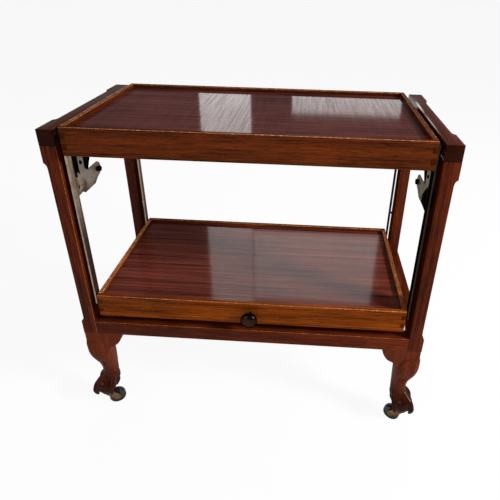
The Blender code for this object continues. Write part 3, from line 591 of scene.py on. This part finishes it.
class Trays(bpy.types.Operator):
    """Finger-jointed boards and polished panels"""
    bl_idname = "trolley.trays"
    bl_label = "Trays"

    def execute(self, context):
        width = context.scene.trolley_sizes.board_edge
        for tray, wood, panel in (("top_tray", "board_", "panel"), ("lower_tray", "lower_", "shelf_panel")):
            for end in ENDS:
                node = f"{tray}_{end}_board"
                rubbed_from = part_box(node)[1].z - 2 * width
                eased_copy(node, width, look(wood + "X"), grain="X", rubbed_from=rubbed_from)
            for side in SIDES:
                node = f"{tray}_{side}_board"
                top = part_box(node)[1].z
                piece = node_copy(node)
                bead(piece, top)
                ease(piece, width, grain="Y", rubbed_from=top - 2 * width)
                rub_and_light_top(piece, top, TOP_WEAR_AND_SUNLIGHT[side])
                finish_piece(piece, node + "_finished", look(wood + "Y"), body_of(node),
                             (node,))
            node = frame["nodes"][tray + "_panel"]
            node.data.materials.clear()
            node.data.materials.append(look(panel))
        return {"FINISHED"}


SPIGOT = 0.0063     # the knob's spigot inside the board, which doesn't show
# Half profile of the knob from its face to the board, in shares of its radius and of its reach
KNOB_ROWS = ((0, 1), (0.25, 0.995), (0.45, 0.98), (0.66, 0.95), (0.82, 0.895), (0.93, 0.82), (0.985, 0.74),
             (1, 0.66), (0.985, 0.58), (0.93, 0.5), (0.83, 0.43), (0.68, 0.365), (0.54, 0.31), (0.45, 0.25),
             (0.42, 0.19), (0.42, 0.14), (0.45, 0.1), (0.52, 0.07), (0.585, 0.045), (0.6, 0.02), (0.59, 0.0),
             (0, 0.0))


class Knob(bpy.types.Operator):
    """Turned pull knob"""
    bl_idname = "trolley.knob"
    bl_label = "Knob"

    def execute(self, context):
        low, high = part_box("knob")
        centre = (low + high) / 2
        radius = (high.x - low.x) / 2
        base = high.y - SPIGOT
        reach = base - low.y
        profile = [(radius * across, reach * up) for across, up in KNOB_ROWS]
        place = Vector((centre.x, base, centre.z))
        piece = turned(profile, place, Vector((0, -1, 0)), context.scene.trolley_sizes.turning)
        finish_piece(piece, "pull_knob", look("bronze"), body_of("knob"), ("knob",))
        return {"FINISHED"}


# Legs
FRAME_CORNER = 0.380    # outer faces of the posts
LEG_HEIGHT = 0.1974
LEG_GAP = 0.0003        # the leg stays this far inside the frame
KNEE = 0.054            # insets and half widths of the leg are shares of this
# Sections of the leg: share of the height from the top, inset, half width, squareness
LEG_ROWS = ((0.07, 0.32, 0.26, 4.0), (0.13, 0.325, 0.37, 4.0), (0.165, 0.345, 0.425, 3.6),
            (0.205, 0.37, 0.463, 3.4), (0.257, 0.39, 0.487, 3.2), (0.308, 0.407, 0.5, 3.0),
            (0.358, 0.426, 0.49, 2.9), (0.409, 0.45, 0.463, 2.8), (0.46, 0.48, 0.426, 2.6),
            (0.52, 0.515, 0.38, 2.5), (0.6, 0.538, 0.34, 2.3), (0.698, 0.537, 0.333, 2.1),
            (0.76, 0.49, 0.37, 2.0), (0.83, 0.39, 0.39, 2.0), (0.885, 0.33, 0.39, 2.0))
# Points of a talon: share of the height, inset of the foot, reach, girth
TALON_ROWS = ((0.667, 0.537, 0.2, 0.8), (0.728, 0.51, 0.46, 0.95), (0.784, 0.43, 0.74, 1.0),
              (0.83, 0.36, 0.92, 1.0), (0.875, 0.315, 0.975, 0.92), (0.916, 0.302, 1.0, 0.9),
              (0.957, 0.296, 0.94, 0.64), (0.995, 0.296, 0.82, 0.4))
TALONS = 4
TALON_REACH = 0.028
TALON_GIRTH = 0.007
BALL_RADIUS = 0.0245
BALL_HEIGHT = 0.0678
BALL_INSET = 0.016
# Outline of a knee ear: shares of its width and of its drop
EAR_ROWS = ((1, 0), (1, 0.05), (0.97, 0.14), (0.93, 0.24), (0.885, 0.325), (0.84, 0.4), (0.78, 0.475),
            (0.72, 0.53), (0.66, 0.57), (0.6, 0.6), (0.55, 0.625), (0.5, 0.65), (0.45, 0.7), (0.41, 0.76),
            (0.375, 0.82), (0.35, 0.88), (0.33, 1), (-0.1, 1), (-0.1, 0))
EAR_WIDTH = 0.055
EAR_DROP = 0.059
EAR_FACE = 0.0006       # the ear's face lies this far behind the frame's
EAR_BACK = 0.0206
KNEE_BLOCK = 0.026      # height of the square block under the post


def eased_rows(rows, steps):
    """Rows with smooth steps between them."""
    count = len(rows)
    out = []
    for index in range(count - 1):
        four = [rows[max(0, min(count - 1, index + shift))] for shift in (-1, 0, 1, 2)]
        for step in range(steps):
            t = step / steps
            out.append(tuple(0.5 * (2 * b + (c - a) * t + (2 * a - 5 * b + 4 * c - d) * t * t
                                    + (3 * b - a - 3 * c + d) * t ** 3) for a, b, c, d in zip(*four)))
    out.append(rows[-1])
    return out


def drawn_ring(rows, place):
    """Solid drawn out ring by ring from a filled circle."""
    bpy.ops.object.select_all(action="DESELECT")
    bpy.ops.mesh.primitive_circle_add(vertices=40, radius=0.01, fill_type="NGON")
    piece = bpy.context.object
    bpy.ops.object.mode_set(mode="EDIT")
    middle = Vector((0, 0, 0))
    for count, row in enumerate(rows):
        if count:
            bpy.ops.mesh.extrude_region_move()
        shape = bmesh.from_edit_mesh(piece.data)
        ring = [vert for vert in shape.verts if vert.select]
        for vert in ring:
            vert.co = place(row, math.atan2(vert.co.y - middle.y, vert.co.x - middle.x))
        middle = sum((vert.co for vert in ring), Vector()) / len(ring)
        bmesh.update_edit_mesh(piece.data)
    leave_edit()
    return piece


def flat_outline(points, low, high, axis):
    """Outline filled and drawn out along X or Y."""
    piece, shape = empty_mesh()
    if axis == "X":
        ring = [shape.verts.new((low, across, level)) for across, level in points]
    else:
        ring = [shape.verts.new((across, low, level)) for across, level in points]
    shape.faces.new(ring)
    bmesh.update_edit_mesh(piece.data)
    bpy.ops.mesh.select_all(action="SELECT")
    step = (high - low, 0, 0) if axis == "X" else (0, high - low, 0)
    bpy.ops.mesh.extrude_region_move(TRANSFORM_OT_translate={"value": step})
    leave_edit()
    return piece


def tapering_tube(points):
    """Round tube through (place, radius) points."""
    curve = bpy.data.curves.new("talon", "CURVE")
    curve.dimensions = "3D"
    curve.bevel_depth = 1.0
    curve.bevel_resolution = 5
    curve.use_fill_caps = True
    spline = curve.splines.new("POLY")
    spline.points.add(len(points) - 1)
    for point, (place, radius) in zip(spline.points, points):
        point.co = (*place, 1.0)
        point.radius = radius
    piece = bpy.data.objects.new("talon", curve)
    bpy.context.scene.collection.objects.link(piece)
    only(piece)
    bpy.ops.object.convert(target="MESH")
    return bpy.context.object


def leg_pieces(low, high):
    """Pieces of the front right leg, which overlap, under a post with the given corners."""
    front, wall, post_back = low.y, low.x, high.y
    top = low.z - LEG_GAP

    def spot(drop, inset, reach, turn):
        """Point at a share of the height, off the middle that the leg has there."""
        return Vector((FRAME_CORNER - inset * KNEE + reach * math.cos(turn),
                       front + inset * KNEE + reach * math.sin(turn), top - drop * LEG_HEIGHT))

    def section(row, turn):
        drop, inset, half, power = row
        length = (abs(math.cos(turn)) ** power + abs(math.sin(turn)) ** power) ** (1 / power)
        return spot(drop, inset, half * KNEE / length, turn)

    def ear(edge, way):
        return [(edge + way * across * EAR_WIDTH, top - down * EAR_DROP) for across, down in EAR_ROWS]

    pieces = [drawn_ring(eased_rows(LEG_ROWS, 3), section)]
    bpy.ops.mesh.primitive_uv_sphere_add(
        segments=40, ring_count=28, radius=BALL_RADIUS,
        location=(FRAME_CORNER - BALL_INSET, front + BALL_INSET, BALL_HEIGHT))
    pieces.append(bpy.context.object)
    for claw in range(TALONS):
        turn = math.radians(45 + 360 / TALONS * claw)
        pieces.append(tapering_tube([(spot(drop, inset, spread * TALON_REACH, turn), girth * TALON_GIRTH)
                                     for drop, inset, spread, girth in eased_rows(TALON_ROWS, 4)]))
    pieces.append(flat_outline(ear(wall, -1), front + EAR_FACE, front + EAR_BACK, "Y"))
    pieces.append(flat_outline(ear(post_back, 1), FRAME_CORNER - EAR_BACK, FRAME_CORNER - EAR_FACE, "X"))
    left, right = wall + LEG_GAP, FRAME_CORNER - LEG_GAP
    knee = [(left, top), (right, top), (right, top - KNEE_BLOCK), (left, top - KNEE_BLOCK)]
    pieces.append(flat_outline(knee, front + LEG_GAP, post_back - LEG_GAP, "Y"))
    return pieces


def carved(pieces, cell):
    """Overlapping pieces as one skin, sanded smooth."""
    only(pieces[0])
    for piece in pieces:
        piece.select_set(True)
    bpy.ops.object.join()
    leg = bpy.context.object
    settle(leg)
    cells = leg.modifiers.new("Carving", "REMESH")
    cells.mode = "VOXEL"
    cells.voxel_size = cell
    smooth = leg.modifiers.new("Sanding", "SMOOTH")
    smooth.factor = 0.5
    smooth.iterations = 5
    apply_all(leg)
    only(leg)
    bpy.ops.object.shade_smooth_by_angle(angle=CARVED_SMOOTH)
    return leg


class Legs(bpy.types.Operator):
    """Cabriole legs with claw-and-ball feet"""
    bl_idname = "trolley.legs"
    bl_label = "Legs"

    def execute(self, context):
        cell = context.scene.trolley_sizes.carving * 1
        leg = carved(leg_pieces(*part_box("post_front_right")), cell)
        middle = (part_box("post_front_right")[0].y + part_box("post_rear_right")[1].y) / 2
        legs = {"front_right": leg, "front_left": flipped(leg, "front_left", "X")}
        for side in SIDES[::-1]:
            legs["rear_" + side] = flipped(legs["front_" + side], "rear_" + side, "Y", middle)
        for corner, piece in legs.items():
            node = "leg_" + corner
            finish_piece(piece, "carved_" + node, look("carved"), body_of(node), (node,))
        return {"FINISHED"}


# Lift and catches
ARM_REACH = 0.003       # the front edges of the front arms stand this much further forward
ARM_EDGE = 0.0012       # depth of the edge that moves; the eyes and the rest stay


def widen_arm(piece):
    """Bring the front edge of a front arm forward."""
    front = min(vertex.co.y for vertex in piece.data.vertices)
    for vertex in piece.data.vertices:
        if vertex.co.y < front + ARM_EDGE:
            vertex.co.y -= ARM_REACH


class LiftArms(bpy.types.Operator):
    """Steel arms, studs and plates of the lift"""
    bl_idname = "trolley.lift_arms"
    bl_label = "Lift arms"

    def execute(self, context):
        width = context.scene.trolley_sizes.steel_edge
        for side in SIDES:
            for end in ENDS:
                arm = eased_copy(f"arm_{end}_{side}", width, look("steel_Z"))
                if end == "front":
                    widen_arm(arm)
                eased_copy(f"upper_pivot_stud_{end}_{side}", width, look("steel_X"))
                eased_copy(f"lower_pivot_plate_{end}_{side}", width, look("steel_X"))
            eased_copy("rest_stop_" + side, width, look("steel_X"))
        return {"FINISHED"}


# Corners of a mounting plate and where they go, in shares of the plate from its top front corner
PLATE_MOVES = (((0, 0), (-0.11, 0)), ((0, 0.52), (-0.11, 0.52)), ((0.07, 1), (0, 1)), ((0.32, 1), (0.48, 1)),
               ((0.75, 0.52), (0.88, 0.6)))
CORNER_ROOM = 0.001     # a corner is found within this distance


def widen_plate(piece, node):
    """Bring the front edge of a mounting plate forward and its lower corners down and back."""
    low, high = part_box(node)
    length, height = high.y - low.y, high.z - low.z
    for vert in piece.data.vertices:
        for (along, down), (new_along, new_down) in PLATE_MOVES:
            off = abs(vert.co.y - low.y - along * length), abs(high.z - vert.co.z - down * height)
            if max(off) < CORNER_ROOM:
                vert.co.y = low.y + new_along * length
                vert.co.z = high.z - new_down * height
                break


class Catches(bpy.types.Operator):
    """Mounting plates, levers and finger buttons"""
    bl_idname = "trolley.catches"
    bl_label = "Catches"

    def execute(self, context):
        width = context.scene.trolley_sizes.steel_edge
        for side in SIDES:
            node = "catch_plate_" + side
            piece = node_copy(node)
            widen_plate(piece, node)
            ease(piece, width)
            finish_piece(piece, node + "_finished", look("black_paint"), body_of(node),
                         (node,))
            eased_copy("catch_lever_" + side, width, look("catch_steel"))
            eased_copy("catch_button_" + side, width * 2, look("black_paint"), 3)
        return {"FINISHED"}


class Castors(bpy.types.Operator):
    """Sockets, forks and wheels"""
    bl_idname = "trolley.castors"
    bl_label = "Castors"

    def execute(self, context):
        width = context.scene.trolley_sizes.steel_edge
        for corner in CORNERS:
            eased_copy("castor_socket_" + corner, width, look("castor_steel"))
            eased_copy("castor_fork_" + corner, width, look("castor_steel"))
            eased_copy("castor_wheel_" + corner, width, look("black_wheel"))
        return {"FINISHED"}


# Studio
FLOOR_SIZE = 120
PAPER = 0.85            # the floor's colour in the light
FLOOR_WHITE = 0.92      # share of plain white in the floor as the camera sees it
SKY_LIGHT = 0.22        # light from all round
SKY_SEEN = 0.95         # brightness of the backdrop as the camera sees it
# Name, place, aim, width, height, watts
LAMPS = (("key", (2.9, -1.25, 2.1), (0, 0, 0.4), 0.7, 0.7, 160),
         ("fill", (-1.6, -2.6, 1.7), (0, 0, 0.4), 1.6, 1.6, 26),
         ("left_window", (-0.55, 2.6, 1.85), (-0.55, 0, 1.85), 0.4, 1.5, 9),
         ("right_window", (0.385, 2.6, 1.22), (0.385, 0, 1.22), 0.83, 0.38, 4),
         ("high_window", (0.21, 2.6, 2.1), (0.21, 0, 2.1), 1.1, 0.75, 14))
CAMERA_PLACE = (0.110, -0.96505, 0.971)
CAMERA_YAW, CAMERA_PITCH, CAMERA_ROLL = (math.radians(angle) for angle in (-2.8044, -28.5725, 1.3168))
CAMERA_LENS = 33.318
CAMERA_SENSOR = 36
CAMERA_SHIFT = (-0.0698, -0.0485)


def lay_floor():
    """Pale floor that keeps its shadows and is nearly white to the camera and in reflections."""
    bpy.ops.object.select_all(action="DESELECT")
    bpy.ops.mesh.primitive_plane_add(size=FLOOR_SIZE, location=(0, 0, 0))
    floor = bpy.context.object
    floor.name = "studio_floor"
    skin = Finish("studio_floor")
    camera, glossy, through = (skin.node("ShaderNodeLightPath", out=ray) for ray in
                               ("Is Camera Ray", "Is Glossy Ray", "Is Transmission Ray"))
    paper = skin.node("ShaderNodeBsdfDiffuse", sockets={"Color": (PAPER, PAPER, PAPER)})
    white = skin.node("ShaderNodeEmission", sockets={"Color": (1.0, 1.0, 1.0)})
    amount = (camera + glossy + through) * FLOOR_WHITE
    skin.show(skin.node("ShaderNodeMixShader", sockets={0: amount, 1: paper, 2: white}))
    floor.data.materials.append(skin.material)


def light_world(scene):
    """Even white light from all round, with a brighter backdrop for the camera alone."""
    world = bpy.data.worlds.new("studio")
    scene.world = world
    world.use_nodes = True
    nodes, links = world.node_tree.nodes, world.node_tree.links
    background = nodes["Background"]
    background.inputs["Color"].default_value = (1, 1, 1, 1)
    strength = nodes.new("ShaderNodeMapRange")
    strength.inputs["To Min"].default_value = SKY_LIGHT
    strength.inputs["To Max"].default_value = SKY_SEEN
    links.new(nodes.new("ShaderNodeLightPath").outputs["Is Camera Ray"], strength.inputs["Value"])
    links.new(strength.outputs["Result"], background.inputs["Strength"])


def hang_lamps():
    for name, place, aim, width, height, power in LAMPS:
        bpy.ops.object.light_add(type="AREA", location=place)
        lamp = bpy.context.object
        lamp.name = name + "_light"
        lamp.data.shape = "RECTANGLE"
        lamp.data.size = width
        lamp.data.size_y = height
        lamp.data.energy = power
        lamp.visible_camera = False
        lamp.rotation_euler = (Vector(aim) - Vector(place)).to_track_quat("-Z", "Y").to_euler()


def set_camera(scene):
    """Camera at the photo's place and angle."""
    level = math.cos(CAMERA_PITCH)
    forward = Vector((math.sin(CAMERA_YAW) * level, math.cos(CAMERA_YAW) * level, math.sin(CAMERA_PITCH)))
    right = Vector((math.cos(CAMERA_YAW), -math.sin(CAMERA_YAW), 0))
    upward = right.cross(forward)
    across = right * math.cos(CAMERA_ROLL) + upward * math.sin(CAMERA_ROLL)
    rise = upward * math.cos(CAMERA_ROLL) - right * math.sin(CAMERA_ROLL)
    camera = bpy.data.objects.new("camera", bpy.data.cameras.new("camera"))
    scene.collection.objects.link(camera)
    turn = Matrix((across, rise, -forward)).transposed().to_4x4()
    camera.matrix_world = Matrix.Translation(CAMERA_PLACE) @ turn
    camera.data.sensor_width = CAMERA_SENSOR
    camera.data.lens = CAMERA_LENS
    camera.data.shift_x, camera.data.shift_y = CAMERA_SHIFT
    scene.camera = camera


class Studio(bpy.types.Operator):
    """Floor, lights and camera"""
    bl_idname = "trolley.studio"
    bl_label = "Studio"

    def execute(self, context):
        lay_floor()
        light_world(context.scene)
        hang_lamps()
        set_camera(context.scene)
        return {"FINISHED"}


class TrolleyPanel(bpy.types.Panel):
    """Lists the pieces in the sidebar"""
    bl_idname = "VIEW3D_PT_trolley"
    bl_label = "Serving trolley"
    bl_space_type = "VIEW_3D"
    bl_region_type = "UI"
    bl_category = "Trolley"

    def draw(self, context):
        for group in (context.scene.trolley_sizes, context.scene.trolley_colours):
            for name in group.bl_rna.properties.keys():
                if name not in ("rna_type", "name"):
                    self.layout.prop(group, name)
        for piece in PIECES:
            self.layout.operator(piece.bl_idname)


PIECES = (Studio, SideFrames, Trays, Knob, Legs, LiftArms, Catches, Castors)
CLASSES = (TrolleyColours, TrolleySizes) + PIECES + (TrolleyPanel,)


def register():
    for kind in CLASSES:
        bpy.utils.register_class(kind)
    bpy.types.Scene.trolley_colours = PointerProperty(type=TrolleyColours)
    bpy.types.Scene.trolley_sizes = PointerProperty(type=TrolleySizes)


def unregister():
    del bpy.types.Scene.trolley_sizes
    del bpy.types.Scene.trolley_colours
    for kind in reversed(CLASSES):
        bpy.utils.unregister_class(kind)


def main():
    register()
    bpy.context.scene.view_settings.view_transform = "Standard"
    for piece in PIECES:
        group, name = piece.bl_idname.split(".")
        getattr(getattr(bpy.ops, group), name)()


if __name__ == "__main__":
    main()
